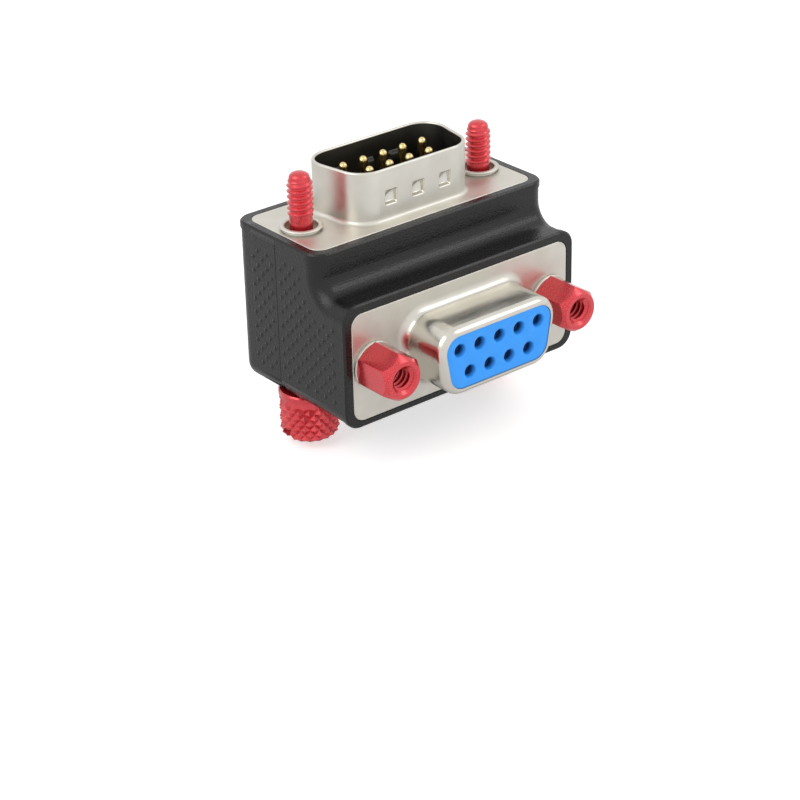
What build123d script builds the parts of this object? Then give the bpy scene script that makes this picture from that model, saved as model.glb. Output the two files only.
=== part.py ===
from build123d import *
from math import cos, radians, sin, tan
import os

# Right-angle nine-way gender changer. A D-shaped plug stands on top and a D-shaped socket faces
# the front, and a moulded housing of two halves holds them at a right angle. Two captive
# thumbscrews run down through the housing beside the plug, and two hexagonal jack nuts flank
# the socket.
#
# Frame, in millimetres: the origin is the centre of the plug flange's outer face. +Z is the way
# the plug points, -Y the way the socket points, and +X is to the right seen from the socket.
# Sizes along a connector's own axis are heights above its flange's outer face, so they are
# negative inside the housing.

os.makedirs("parts", exist_ok=True)

# Contact layout, shared by plug and socket
contact_pitch = 2.77
row_spacing = 2.84
long_row_count = 5
short_row_count = 4
screw_spacing = 24.99

# Flanged steel plates
flange_end_margin = 2.705
flange_height = 12.5
flange_corner = 1.4
plate_thickness = 0.5
plate_clearance = 0.05

# D shapes: widths and heights are those of the mating surfaces
d_slope = 10.0
d_corner = 2.6
plug_d_width = 16.92
plug_d_height = 8.36
plug_shroud_height = 5.9
plug_root_radius = 0.5
socket_d_width = 16.33
socket_d_height = 7.9
socket_shroud_height = 6.12
socket_root_radius = 1.1
shroud_wall = 0.4
socket_mouth_lip = 0.3
socket_mouth_radius = 0.45

# Pressed dimples in the plug's long walls
dimple_count = 3
dimple_spacing = 3.75
dimple_size = 1.6
dimple_depth = 0.2
dimple_height = 2.6
dimple_outside_taper = 20
dimple_inside_taper = 30

# Rear cups of both connectors, which clasp the insulators' collars
cup_end_gap = 0.35
cup_height = 10.4
cup_depth = 4.0
cup_wall = 0.4
cup_lip = 0.9
insulator_clearance = 0.05
insulator_tail_length = 2.0
socket_face_recess = 0.12

# Contacts: round pins in the plug, forks of sheet brass in the socket
pin_diameter = 1.02
pin_tip_height = 5.25
pin_tip_chamfer = 0.3
pin_tail_length = 2.4
contact_clearance = 0.03
socket_hole_diameter = 1.12
socket_countersink_diameter = 1.56
socket_countersink_angle = 90
fork_width = 1.7
fork_thickness = 0.8
fork_gap = 1.0
fork_tine_length = 5.0
fork_setback = 1.0
fork_tail_width = 0.6
fork_tail_stand_off = 0.6

# Circuit board that carries each plug pin's line to its socket contact
board_thickness = 1.6
board_edge_gap = 0.3
board_margin = 2.0
board_side_clearance = 0.1
board_hole_clearance = 0.05

# Moulded housing
rim_width = 1.05
bottom_rim = 0.8
rim_band_height = 0.8
rim_proud = 0.12
rim_edge_chamfer = 0.2
edge_radius = 1.8
cove_radius = 2.05
socket_reach = 11.7
socket_drop = 11.8
bottom_wall = 1.6
cavity_clearance = 0.3
seam_chamfer = 0.07
notch_width = 1.1
notch_height = 1.2
notch_depth = 0.9
tongue_width = 0.6
tongue_reach = 0.8
tongue_clearance = 0.1
tongue_from_tunnel = 0.85
tongue_end_margin = 3.0

# Eyelets that clamp the plug's two plates
eyelet_outer_diameter = 4.3
eyelet_bore_diameter = 3.65
eyelet_head_diameter = 4.75
eyelet_head_height = 0.5
eyelet_head_chamfer = 0.2
eyelet_end_thickness = 0.4
eyelet_end_bore = 2.45
eyelet_clearance = 0.03

# Captive thumbscrews, number 4 by 40 to the inch
thread_diameter = 2.845
thread_length = 5.0
tip_chamfer = 0.55
thread_start_height = 1.65
neck_diameter = 2.25
shaft_diameter = 3.2
shaft_clearance = 0.1
shaft_top_gap = 0.95
head_diameter = 6.7
head_length = 5.5
head_corner = 0.8
head_slot_width = 1.0
head_slot_depth = 1.1
head_gap_left = 0.15
head_gap_right = 0.8

# Jack nuts, their washers and the clinch nuts pressed into the socket's flange
jack_across_flats = 4.75
jack_length = 4.85
jack_bore_diameter = 2.4
jack_bore_depth = 4.4
jack_face_diameter = 4.3
jack_chamfer_length = 0.75
jack_stud_diameter = 2.8
jack_stud_length = 3.8
stud_clearance = 0.05
washer_diameter = 5.3
washer_thickness = 0.4
clinch_across_flats = 4.75
clinch_body_length = 3.0
clinch_shank_diameter = 3.6
clinch_clearance = 0.05
hexagon_half_angle = 30

# Places that follow from the sizes above
screw_x = screw_spacing / 2
flange_width = screw_spacing + 2 * flange_end_margin
jack_corner_radius = jack_across_flats / 2 / cos(radians(hexagon_half_angle))
clinch_corner_radius = clinch_across_flats / 2 / cos(radians(hexagon_half_angle))
cup_width = screw_spacing - 2 * (clinch_corner_radius + cup_end_gap)
stack_thickness = 2 * plate_thickness
half_width = flange_width / 2 + rim_width
section_half_depth = flange_height / 2 + rim_width
socket_section_top = -(socket_drop - flange_height / 2 - rim_width)
bottom_z = -(socket_drop + flange_height / 2 + bottom_rim)
cup_end = -(stack_thickness + cup_depth)
insulator_end = cup_end - insulator_tail_length
cavity_half_width = cup_width / 2 + cavity_clearance
cavity_half_height = cup_height / 2 + cavity_clearance
tunnel_radius = shaft_diameter / 2 + shaft_clearance

# Faces and edges nearer to a plane than this count as lying in it
pick_tolerance = 0.001

plug_face = Plane.XY
socket_face = Plane(origin=(0, -socket_reach, -socket_drop), x_dir=(1, 0, 0), z_dir=(0, -1, 0))


def row_places(count, y):
    """Places of one row of contacts on a connector's face, from -X to +X."""
    return [((i - (count - 1) / 2) * contact_pitch, y) for i in range(count)]


# Contacts count from the left of the long row on the plug and from its right on the socket
plug_places = row_places(long_row_count, row_spacing / 2) + row_places(short_row_count, -row_spacing / 2)
socket_places = [(-x, y) for x, y in plug_places]
screw_places = [(-screw_x, 0), (screw_x, 0)]


def d_outline(width, height, corner):
    """D shape with its wide side towards +Y and both ends sloping in towards -Y."""
    lean = radians(d_slope)
    arc_x = width / 2 - corner
    wide = arc_x + corner * (1 + sin(lean)) / cos(lean)
    narrow = arc_x - (height - 2 * corner) * tan(lean) + corner * (1 - sin(lean)) / cos(lean)
    with BuildSketch() as outline:
        with BuildLine():
            Polyline(
                (-wide, height / 2),
                (wide, height / 2),
                (narrow, -height / 2),
                (-narrow, -height / 2),
                close=True,
            )
        make_face()
        fillet(outline.vertices(), corner)
    return outline.sketch


def grown_d(width, height, corner, growth):
    """The same D shape with its whole outline moved outwards by growth."""
    return d_outline(width + 2 * growth, height + 2 * growth, corner + growth)


def across(face, x, y):
    """Plane that holds the axis of a round piece at (x, y) of a face; its own Y points out."""
    return Plane(origin=face.from_local_coords((x, y, 0)), x_dir=face.x_dir, z_dir=-face.y_dir)


def in_face(face):
    """Selector for the faces and edges whose middle lies in a connector's face."""
    return lambda piece: abs(face.to_local_coords(piece.center()).Z) < pick_tolerance


def axis_of(plane):
    """Axis of a round piece whose half section lies on the plane."""
    return Axis(plane.origin, plane.y_dir)


# D outlines
plug_d_inside = d_outline(plug_d_width, plug_d_height, d_corner)
plug_d_outside = grown_d(plug_d_width, plug_d_height, d_corner, shroud_wall)
plug_nose_d = grown_d(plug_d_width, plug_d_height, d_corner, -insulator_clearance)
socket_d_outside = d_outline(socket_d_width, socket_d_height, d_corner)
socket_d_inside = grown_d(socket_d_width, socket_d_height, d_corner, -shroud_wall)
socket_mouth_d = grown_d(socket_d_width, socket_d_height, d_corner, -shroud_wall - socket_mouth_lip)
socket_nose_d = grown_d(socket_d_width, socket_d_height, d_corner, -shroud_wall - insulator_clearance)
socket_tip_d = grown_d(
    socket_d_width, socket_d_height, d_corner, -shroud_wall - socket_mouth_lip - insulator_clearance
)


# Front plate of the plug: a flange with a tall D shroud drawn out of it
eyelet_hole_radius = eyelet_outer_diameter / 2 + eyelet_clearance
with BuildPart() as plug_shroud:
    with BuildSketch(plug_face.offset(-plate_thickness)):
        RectangleRounded(flange_width, flange_height, flange_corner)
        with Locations(*screw_places):
            Circle(eyelet_hole_radius, mode=Mode.SUBTRACT)
    extrude(amount=plate_thickness)
    with BuildSketch(plug_face):
        add(plug_d_outside)
    extrude(amount=plug_shroud_height)
    with BuildSketch(plug_face.offset(-plate_thickness)):
        add(plug_d_inside)
    extrude(amount=plate_thickness + plug_shroud_height, mode=Mode.SUBTRACT)
    flange_front = plug_shroud.faces().filter_by(in_face(plug_face))[0]
    fillet(flange_front.inner_wires().sort_by(SortBy.LENGTH)[-1].edges(), plug_root_radius)
    for side in (-1, 1):
        wall_y = side * (plug_d_height / 2 + shroud_wall)
        dimple_plane = Plane(origin=(0, wall_y, dimple_height), x_dir=(1, 0, 0), z_dir=(0, side, 0))
        inner_plane = dimple_plane.offset(-shroud_wall)
        with BuildSketch(dimple_plane):
            with GridLocations(dimple_spacing, 1, dimple_count, 1):
                Rectangle(dimple_size, dimple_size)
        extrude(amount=-dimple_depth, taper=dimple_outside_taper, mode=Mode.SUBTRACT)
        with BuildSketch(inner_plane):
            with GridLocations(dimple_spacing, 1, dimple_count, 1):
                Rectangle(dimple_size, dimple_size)
        extrude(amount=-dimple_depth, taper=dimple_inside_taper)
plug_shroud.part.label = "plug_shroud"
export_step(plug_shroud.part, "parts/plug_shroud.step")


# Front plate of the socket: its shroud flares out of the flange and turns in over the insulator
clinch_hole_radius = clinch_shank_diameter / 2 + clinch_clearance
with BuildPart() as socket_shroud:
    with BuildSketch(socket_face.offset(-plate_thickness)):
        RectangleRounded(flange_width, flange_height, flange_corner)
        with Locations(*screw_places):
            Circle(clinch_hole_radius, mode=Mode.SUBTRACT)
    extrude(amount=plate_thickness)
    with BuildSketch(socket_face):
        add(socket_d_outside)
    extrude(amount=socket_shroud_height)
    flange_front = socket_shroud.faces().filter_by(in_face(socket_face))[0]
    fillet(flange_front.inner_wires().sort_by(SortBy.LENGTH)[-1].edges(), socket_root_radius)
    fillet(socket_shroud.faces().sort_by(Axis.Y)[0].edges(), socket_mouth_radius)
    with BuildSketch(socket_face.offset(-plate_thickness)):
        add(socket_d_inside)
    extrude(amount=plate_thickness + socket_shroud_height - shroud_wall, mode=Mode.SUBTRACT)
    with BuildSketch(socket_face):
        add(socket_mouth_d)
    extrude(amount=socket_shroud_height, mode=Mode.SUBTRACT)
socket_shroud.part.label = "socket_shroud"
export_step(socket_shroud.part, "parts/socket_shroud.step")


# Rear plates: a flange with a cup pressed backwards around the insulator's collar
cup_inside = (cup_width - 2 * cup_wall, cup_height - 2 * cup_wall)
cup_window = (cup_inside[0] - 2 * cup_lip, cup_inside[1] - 2 * cup_lip)
rear_plates = {
    "plug_rear_plate": (plug_face, eyelet_hole_radius),
    "socket_rear_plate": (socket_face, clinch_hole_radius),
}
for name, (face, hole_radius) in rear_plates.items():
    with BuildPart() as rear_plate:
        with BuildSketch(face.offset(-stack_thickness)):
            RectangleRounded(flange_width, flange_height, flange_corner)
            with Locations(*screw_places):
                Circle(hole_radius, mode=Mode.SUBTRACT)
        extrude(amount=plate_thickness)
        with BuildSketch(face.offset(-stack_thickness)):
            Rectangle(cup_width, cup_height)
        extrude(amount=-cup_depth)
        with BuildSketch(face.offset(-plate_thickness)):
            Rectangle(*cup_inside)
        extrude(amount=-(plate_thickness + cup_depth - cup_wall), mode=Mode.SUBTRACT)
        with BuildSketch(face.offset(-plate_thickness)):
            Rectangle(*cup_window)
        extrude(amount=-(plate_thickness + cup_depth), mode=Mode.SUBTRACT)
    rear_plate.part.label = name
    export_step(rear_plate.part, f"parts/{name}.step")


# Insulator of the plug: a nose flush with the flange, a collar in the cup and a narrower tail
collar_depth = plate_thickness + cup_depth - cup_wall - insulator_clearance
collar_size = [length - 2 * insulator_clearance for length in cup_inside]
tail_size = [length - 2 * insulator_clearance for length in cup_window]
with BuildPart() as plug_insulator:
    with BuildSketch(plug_face):
        add(plug_nose_d)
    extrude(amount=-plate_thickness)
    with BuildSketch(plug_face.offset(-plate_thickness)):
        Rectangle(*collar_size)
    extrude(amount=-collar_depth)
    with BuildSketch(plug_face.offset(-plate_thickness - collar_depth)):
        Rectangle(*tail_size)
    extrude(amount=insulator_end + plate_thickness + collar_depth)
    with BuildSketch(plug_face):
        with Locations(*plug_places):
            Circle(pin_diameter / 2 + contact_clearance)
    extrude(amount=insulator_end, mode=Mode.SUBTRACT)
plug_insulator.part.label = "plug_insulator"
export_step(plug_insulator.part, "parts/plug_insulator.step")


# Insulator of the socket: its nose fills the shroud, with a countersunk hole for each pin that
# opens into a square chamber for the contact behind it
socket_nose_height = socket_shroud_height - shroud_wall - insulator_clearance
socket_face_height = socket_shroud_height - socket_face_recess
fork_front = socket_face_height - fork_setback
with BuildPart() as socket_insulator:
    with BuildSketch(socket_face.offset(-plate_thickness)):
        add(socket_nose_d)
    extrude(amount=plate_thickness + socket_nose_height)
    with BuildSketch(socket_face):
        add(socket_tip_d)
    extrude(amount=socket_face_height)
    with BuildSketch(socket_face.offset(-plate_thickness)):
        Rectangle(*collar_size)
    extrude(amount=-collar_depth)
    with BuildSketch(socket_face.offset(-plate_thickness - collar_depth)):
        Rectangle(*tail_size)
    extrude(amount=insulator_end + plate_thickness + collar_depth)
    with Locations(socket_face.offset(socket_face_height)):
        with Locations(*socket_places):
            CounterSinkHole(
                socket_hole_diameter / 2,
                socket_countersink_diameter / 2,
                depth=fork_setback,
                counter_sink_angle=socket_countersink_angle,
            )
    with BuildSketch(socket_face.offset(fork_front)):
        with Locations(*socket_places):
            Rectangle(fork_width + 2 * contact_clearance, fork_width + 2 * contact_clearance)
    extrude(amount=insulator_end - fork_front, mode=Mode.SUBTRACT)
socket_insulator.part.label = "socket_insulator"
export_step(socket_insulator.part, "parts/socket_insulator.step")


# Plug pins: straight rods with a bevelled tip, held in the insulator, their tails beside the board
for number, (x, y) in enumerate(plug_places, start=1):
    with BuildPart() as plug_pin:
        with BuildSketch(plug_face.offset(insulator_end - pin_tail_length)):
            with Locations((x, y)):
                Circle(pin_diameter / 2)
        extrude(amount=pin_tip_height - insulator_end + pin_tail_length)
        chamfer(plug_pin.edges().sort_by(Axis.Z)[-1], pin_tip_chamfer)
    plug_pin.part.label = f"plug_pin_{number}"
    export_step(plug_pin.part, f"parts/plug_pin_{number}.step")


# Socket contacts: a fork whose two tines take the pin between them, and a tail through the board
board_back = board_thickness / 2
fork_tail_end = -socket_reach - board_back - fork_tail_stand_off
for number, (x, y) in enumerate(socket_places, start=1):
    with BuildPart() as socket_contact:
        with BuildSketch(socket_face.offset(fork_front)):
            with Locations((x, y)):
                Rectangle(fork_width, fork_thickness)
        extrude(amount=insulator_end - fork_front)
        with BuildSketch(socket_face.offset(fork_front)):
            with Locations((x, y)):
                Rectangle(fork_gap, fork_thickness)
        extrude(amount=-fork_tine_length, mode=Mode.SUBTRACT)
        with BuildSketch(socket_face.offset(insulator_end)):
            with Locations((x, y)):
                Rectangle(fork_tail_width, fork_thickness)
        extrude(amount=fork_tail_end - insulator_end)
    socket_contact.part.label = f"socket_contact_{number}"
    export_step(socket_contact.part, f"parts/socket_contact_{number}.step")


# Circuit board: stands between the plug's two rows of tails, and the socket's tails go through it
board_top = insulator_end - board_edge_gap
board_bottom = -socket_drop - row_spacing / 2 - board_margin
board_width = 2 * (cavity_half_width - board_side_clearance)
board_plane = Plane(origin=(0, 0, -socket_drop), x_dir=(1, 0, 0), z_dir=(0, -1, 0))
with BuildPart() as circuit_board:
    with BuildSketch(Plane.XZ):
        with Locations((0, (board_top + board_bottom) / 2)):
            Rectangle(board_width, board_top - board_bottom)
    extrude(amount=board_back, both=True)
    with BuildSketch(board_plane.offset(-board_back)):
        with Locations(*socket_places):
            Rectangle(fork_tail_width + 2 * board_hole_clearance, fork_thickness + 2 * board_hole_clearance)
    extrude(amount=board_thickness, mode=Mode.SUBTRACT)
circuit_board.part.label = "circuit_board"
export_step(circuit_board.part, "parts/circuit_board.step")


# Housing before it is parted: an L-shaped moulding with a cove between its two sections
body_half_width = half_width - rim_proud
body_half_depth = section_half_depth - rim_proud
body_step = socket_section_top - rim_proud
body_bottom = bottom_z + rim_proud
with BuildPart() as housing:
    with BuildSketch(Plane.YZ):
        with BuildLine():
            wall = Line((-body_half_depth, 0), (-body_half_depth, body_step + cove_radius))
            cove = TangentArc(
                wall @ 1, (-body_half_depth - cove_radius, body_step), tangent=(0, -1)
            )
            Polyline(
                cove @ 1,
                (-socket_reach, body_step),
                (-socket_reach, body_bottom),
                (body_half_depth, body_bottom),
                (body_half_depth, 0),
                wall @ 0,
            )
        make_face()
    extrude(amount=body_half_width, both=True)
    side_outline = housing.faces().filter_by(Axis.X).edges()
    open_ends = side_outline.filter_by(in_face(plug_face)) + side_outline.filter_by(in_face(socket_face))
    side_outline = [edge for edge in side_outline if edge not in open_ends]
    heel = housing.edges().filter_by(Axis.X).sort_by(Axis.Z).group_by(Axis.Y)[-1].sort_by(Axis.Z)[0]
    fillet(side_outline + [heel], edge_radius)
    # Bands that frame both openings, a little proud of the walls
    with BuildSketch(plug_face):
        RectangleRounded(2 * half_width, 2 * section_half_depth, edge_radius + rim_proud)
    extrude(amount=-rim_band_height)
    with BuildSketch(socket_face):
        with Locations((0, (rim_width - bottom_rim) / 2)):
            RectangleRounded(
                2 * half_width, flange_height + rim_width + bottom_rim, edge_radius + rim_proud
            )
    extrude(amount=-rim_band_height)
    rim_edges = (
        housing.faces().sort_by(Axis.Z)[-1].edges() + housing.faces().sort_by(Axis.Y)[0].edges()
    )
    chamfer(rim_edges, rim_edge_chamfer)
    # Seats for the flanged plates, and the hollow behind them
    for face in (plug_face, socket_face):
        with BuildSketch(face):
            RectangleRounded(
                flange_width + 2 * plate_clearance,
                flange_height + 2 * plate_clearance,
                flange_corner + plate_clearance,
            )
        extrude(amount=-stack_thickness, mode=Mode.SUBTRACT)
    with BuildSketch(plug_face):
        Rectangle(2 * cavity_half_width, 2 * cavity_half_height)
    extrude(amount=bottom_z + bottom_wall, mode=Mode.SUBTRACT)
    with BuildSketch(socket_face):
        Rectangle(2 * cavity_half_width, 2 * cavity_half_height)
    extrude(amount=-socket_reach, mode=Mode.SUBTRACT)
    # Tunnels for the thumbscrews
    with BuildSketch(plug_face):
        with Locations(*screw_places):
            Circle(tunnel_radius)
    extrude(amount=bottom_z, mode=Mode.SUBTRACT)
    # Six-sided pockets for the clinch nuts
    with BuildSketch(socket_face):
        with Locations(*screw_places):
            RegularPolygon(clinch_corner_radius + clinch_clearance, 6)
    extrude(amount=-(stack_thickness + clinch_body_length + clinch_clearance), mode=Mode.SUBTRACT)
    # Notches in the lower corners, where the halves are prised apart
    with BuildSketch(Plane.XY.offset(body_bottom)):
        with Locations((-body_half_width, 0), (body_half_width, 0)):
            Rectangle(2 * notch_depth, notch_width)
    extrude(amount=notch_height, mode=Mode.SUBTRACT)

tongue_x = screw_x + tunnel_radius + tongue_from_tunnel + tongue_width / 2
tongue_top = -tongue_end_margin
tongue_bottom = bottom_z + tongue_end_margin
tongue_middle = (tongue_top + tongue_bottom) / 2
tongue_length = tongue_top - tongue_bottom
tongue_places = [(-tongue_x, tongue_middle), (tongue_x, tongue_middle)]


def on_seam_outside(edge):
    """True for a half's outer edges along the seam, between the plug's rim band and the notch."""
    middle = edge.center()
    wall_middle = (screw_x + tunnel_radius + body_half_width) / 2
    below_band = middle.Z < -rim_band_height
    above_notch = middle.Z > body_bottom + notch_height
    return abs(middle.Y) < pick_tolerance and abs(middle.X) > wall_middle and below_band and above_notch


with BuildPart() as rear_housing:
    add(housing.part)
    split(bisect_by=Plane.XZ, keep=Keep.BOTTOM)
    chamfer(rear_housing.edges().filter_by(on_seam_outside), seam_chamfer)
    with BuildSketch(Plane.XZ):
        with Locations(*tongue_places):
            Rectangle(tongue_width, tongue_length)
    extrude(amount=tongue_reach)
rear_housing.part.label = "rear_housing"
export_step(rear_housing.part, "parts/rear_housing.step")

with BuildPart() as front_housing:
    add(housing.part)
    split(bisect_by=Plane.XZ, keep=Keep.TOP)
    chamfer(front_housing.edges().filter_by(on_seam_outside), seam_chamfer)
    with BuildSketch(Plane.XZ):
        with Locations(*tongue_places):
            Rectangle(tongue_width + 2 * tongue_clearance, tongue_length + 2 * tongue_clearance)
    extrude(amount=tongue_reach + tongue_clearance, mode=Mode.SUBTRACT)
front_housing.part.label = "front_housing"
export_step(front_housing.part, "parts/front_housing.step")


# Eyelets: heads on the plug's flange, barrels through both plates, and ends turned in so far that
# only a thumbscrew's neck passes
for side, (x, y) in zip(("left", "right"), screw_places):
    section = across(plug_face, x, y)
    with BuildPart() as eyelet:
        with BuildSketch(section):
            with BuildLine():
                Polyline(
                    (eyelet_bore_diameter / 2, eyelet_head_height),
                    (eyelet_bore_diameter / 2, eyelet_end_thickness - stack_thickness),
                    (eyelet_end_bore / 2, eyelet_end_thickness - stack_thickness),
                    (eyelet_end_bore / 2, -stack_thickness),
                    (eyelet_outer_diameter / 2, -stack_thickness),
                    (eyelet_outer_diameter / 2, 0),
                    (eyelet_head_diameter / 2, 0),
                    (eyelet_head_diameter / 2, eyelet_head_height - eyelet_head_chamfer),
                    (eyelet_head_diameter / 2 - eyelet_head_chamfer, eyelet_head_height),
                    close=True,
                )
            make_face()
        revolve(axis=axis_of(section))
    eyelet.part.label = f"{side}_eyelet"
    export_step(eyelet.part, f"parts/{side}_eyelet.step")


# Thumbscrews: thread, neck and shaft, and a slotted head under the housing. The eyelet's end holds
# the neck: the thread can't pass down through it, nor the shaft up
screw_seats = {"left": (-screw_x, head_gap_left), "right": (screw_x, head_gap_right)}
for side, (x, head_gap) in screw_seats.items():
    section = across(plug_face, x, 0)
    head_top = bottom_z - head_gap
    head_bottom = head_top - head_length
    shaft_top = -stack_thickness - shaft_top_gap - head_gap
    thread_bottom = thread_start_height - head_gap
    thread_top = thread_bottom + thread_length
    with BuildPart() as thumbscrew:
        with BuildSketch(section):
            with BuildLine():
                Polyline(
                    (0, thread_top),
                    (thread_diameter / 2 - tip_chamfer, thread_top),
                    (thread_diameter / 2, thread_top - tip_chamfer),
                    (thread_diameter / 2, thread_bottom),
                    (neck_diameter / 2, thread_bottom),
                    (neck_diameter / 2, shaft_top),
                    (shaft_diameter / 2, shaft_top),
                    (shaft_diameter / 2, head_top),
                    (head_diameter / 2, head_top),
                    (head_diameter / 2, head_bottom),
                    (0, head_bottom),
                    close=True,
                )
            make_face()
        revolve(axis=axis_of(section))
        rims = thumbscrew.edges().filter_by(GeomType.CIRCLE).group_by(Axis.Z)
        chamfer(rims[0], head_corner)
        with BuildSketch(Plane(origin=(x, 0, head_bottom), z_dir=(0, 0, 1))):
            Rectangle(2 * head_diameter, head_slot_width)
        extrude(amount=head_slot_depth, mode=Mode.SUBTRACT)
    thumbscrew.part.label = f"{side}_thumbscrew"
    export_step(thumbscrew.part, f"parts/{side}_thumbscrew.step")


# Jack nuts: a hexagonal body turned down at its end, a threaded bore and a stud behind. The stud
# screws into a clinch nut whose shank is pressed through both plates
stud_hole_radius = jack_stud_diameter / 2 + stud_clearance
for side, (x, y) in zip(("left", "right"), screw_places):
    section = across(socket_face, x, y)
    washer_face = socket_face.offset(washer_thickness)
    jack_end = washer_thickness + jack_length
    with BuildPart() as jack_nut:
        with BuildSketch(washer_face):
            with Locations((x, y)):
                RegularPolygon(jack_corner_radius, 6)
        extrude(amount=jack_length)
        with BuildSketch(section):
            with BuildLine():
                Polyline(
                    (0, jack_end),
                    (jack_face_diameter / 2, jack_end),
                    (jack_corner_radius, jack_end - jack_chamfer_length),
                    (jack_corner_radius, washer_thickness),
                    (0, washer_thickness),
                    close=True,
                )
            make_face()
        revolve(axis=axis_of(section), mode=Mode.INTERSECT)
        with BuildSketch(washer_face):
            with Locations((x, y)):
                Circle(jack_stud_diameter / 2)
        extrude(amount=-(washer_thickness + jack_stud_length))
        with BuildSketch(socket_face.offset(jack_end)):
            with Locations((x, y)):
                Circle(jack_bore_diameter / 2)
        extrude(amount=-jack_bore_depth, mode=Mode.SUBTRACT)
    jack_nut.part.label = f"{side}_jack_nut"
    export_step(jack_nut.part, f"parts/{side}_jack_nut.step")

    with BuildPart() as washer:
        with BuildSketch(socket_face):
            with Locations((x, y)):
                Circle(washer_diameter / 2)
                Circle(stud_hole_radius, mode=Mode.SUBTRACT)
        extrude(amount=washer_thickness)
    washer.part.label = f"{side}_washer"
    export_step(washer.part, f"parts/{side}_washer.step")

    with BuildPart() as clinch_nut:
        with BuildSketch(socket_face):
            with Locations((x, y)):
                Circle(clinch_shank_diameter / 2)
        extrude(amount=-stack_thickness)
        with BuildSketch(socket_face.offset(-stack_thickness)):
            with Locations((x, y)):
                RegularPolygon(clinch_corner_radius, 6)
        extrude(amount=-clinch_body_length)
        with BuildSketch(socket_face):
            with Locations((x, y)):
                Circle(stud_hole_radius)
        extrude(amount=-(stack_thickness + clinch_body_length), mode=Mode.SUBTRACT)
    clinch_nut.part.label = f"{side}_clinch_nut"
    export_step(clinch_nut.part, f"parts/{side}_clinch_nut.step")
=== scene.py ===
from math import atan2, cos, hypot, pi, radians, sin, tan

import bmesh
import bpy
from mathutils import Matrix, Vector


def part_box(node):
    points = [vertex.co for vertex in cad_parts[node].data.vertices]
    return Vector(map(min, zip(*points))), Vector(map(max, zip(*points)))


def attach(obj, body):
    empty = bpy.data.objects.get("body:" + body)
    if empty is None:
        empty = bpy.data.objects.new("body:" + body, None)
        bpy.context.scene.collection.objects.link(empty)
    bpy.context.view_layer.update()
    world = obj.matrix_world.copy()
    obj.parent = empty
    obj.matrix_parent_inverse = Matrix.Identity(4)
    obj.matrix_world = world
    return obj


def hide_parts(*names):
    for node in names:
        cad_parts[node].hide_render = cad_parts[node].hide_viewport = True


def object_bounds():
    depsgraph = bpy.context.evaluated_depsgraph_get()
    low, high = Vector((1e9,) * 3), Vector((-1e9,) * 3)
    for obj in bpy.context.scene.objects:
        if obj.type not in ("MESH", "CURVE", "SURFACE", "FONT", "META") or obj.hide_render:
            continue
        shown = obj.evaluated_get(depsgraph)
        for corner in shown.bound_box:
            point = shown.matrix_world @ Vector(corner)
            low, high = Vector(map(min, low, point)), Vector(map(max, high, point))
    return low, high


# Right-angle nine-way gender changer: a moulded black housing in two halves, drawn nickel-plated
# shrouds, gold pins, red captive thumbscrews and red jack nuts. Every piece is shaped in
# millimetres in the part's own frame, and is written to its mesh in metres.

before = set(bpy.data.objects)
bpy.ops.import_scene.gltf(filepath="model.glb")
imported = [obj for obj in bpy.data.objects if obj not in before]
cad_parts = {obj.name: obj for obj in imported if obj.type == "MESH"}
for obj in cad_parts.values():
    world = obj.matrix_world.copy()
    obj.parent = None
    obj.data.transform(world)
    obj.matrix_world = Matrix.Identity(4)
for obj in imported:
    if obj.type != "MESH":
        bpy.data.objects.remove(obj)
cad_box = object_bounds()

MM = 0.001


def box_mm(node):
    """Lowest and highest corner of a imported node, in millimetres."""
    low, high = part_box(node)
    return low / MM, high / MM


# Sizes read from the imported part
plug_low, plug_high = box_mm("plug_shroud")
socket_low, socket_high = box_mm("socket_shroud")
housing_low, housing_high = box_mm("rear_housing")
front_low = box_mm("front_housing")[0]
eyelet_low, eyelet_high = box_mm("left_eyelet")
washer_low, washer_high = box_mm("left_washer")
flange_width = plug_high.x - plug_low.x
flange_height = plug_high.y - plug_low.y
plug_shroud_height = plug_high.z
plate_thickness = -plug_low.z
socket_reach = -front_low.y
socket_drop = -(socket_low.z + socket_high.z) / 2
socket_shroud_height = -socket_low.y - socket_reach
screw_x = -(eyelet_low.x + eyelet_high.x) / 2
stack_thickness = -eyelet_low.z
washer_thickness = washer_high.y - washer_low.y
sides = (("left", -screw_x), ("right", screw_x))

# Sizes that the drawn plates repeat from the standard D shape
d_slope = 10.0
d_corner = 2.6
plug_d_width = 16.92
plug_d_height = 8.36
socket_d_width = 16.33
socket_d_height = 7.9
shroud_wall = 0.4
socket_lip = 0.8
contact_pitch = 2.77
row_spacing = 2.84
flange_corner = 1.4

# The thread of screws and jack nuts: number 4 by 40 to the inch
thread_pitch = 0.635
thread_radius = 1.4225

# Straight runs that stand for a rounded corner, and for a full circle on each kind of piece
corner_steps = 10
thread_steps = 42
hole_steps = 42
bore_steps = 32
pin_steps = 24
ring_steps = 48
screw_steps = 84

# Distances that count as none, when vertices are merged, cut at, or looked for on a plane
merge_distance = 0.0002
cut_distance = 0.0001
plane_distance = 0.001

# The plug's plane is the part's own. The socket is shaped pointing up too, and then turned to
# face the front.
plug_place = Matrix.Identity(4)
socket_place = Matrix.Translation((0, -socket_reach, -socket_drop)) @ Matrix.Rotation(pi / 2, 4, "X")


def linear(hex_colour):
    """Linear colour with alpha from an sRGB hex value."""
    parts = [int(hex_colour[i:i + 2], 16) / 255 for i in (1, 3, 5)]
    return [c / 12.92 if c <= 0.04045 else ((c + 0.055) / 1.055) ** 2.4 for c in parts] + [1.0]


def set_inputs(tree, node, inputs):
    """Gives each named socket of a node a value, or the output that feeds it."""
    for name, value in inputs.items():
        if isinstance(value, bpy.types.NodeSocket):
            tree.links.new(value, node.inputs[name])
        else:
            node.inputs[name].default_value = value


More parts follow.
